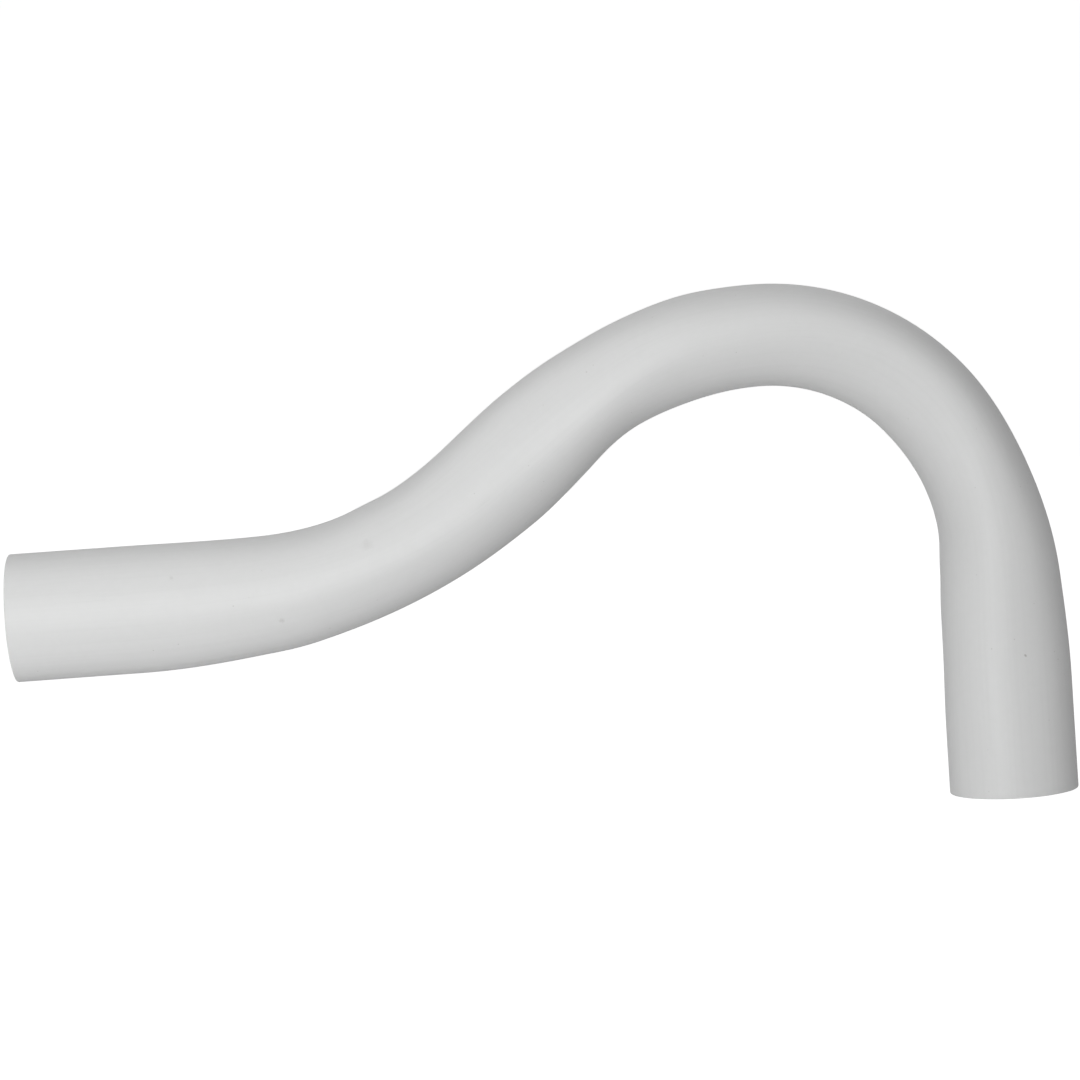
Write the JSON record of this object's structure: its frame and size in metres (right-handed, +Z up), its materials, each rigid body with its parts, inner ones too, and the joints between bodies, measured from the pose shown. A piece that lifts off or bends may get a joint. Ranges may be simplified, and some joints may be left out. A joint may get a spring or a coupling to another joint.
{
  "type": "pvc conduit elbow",
  "caption": "Rigid PVC conduit bent into a gooseneck: a straight inlet, a rising kick, and a crown that turns down to a plain outlet square to the inlet.",
  "frame": {"origin": "centre of the inlet's end face", "axes": "+X runs into the inlet along its axis, +Z is up on the side of the crown, the bends lie in the XZ plane, and the outlet points along -Z"},
  "size_m": [0.3282, 0.0468, 0.1635],
  "materials": {
    "rigid_pvc": "light grey rigid PVC, satin, with a faint extruded grain"
  },
  "bodies": {
    "root": {"conduit_tube": "rigid_pvc"}
  },
  "joints": []
}
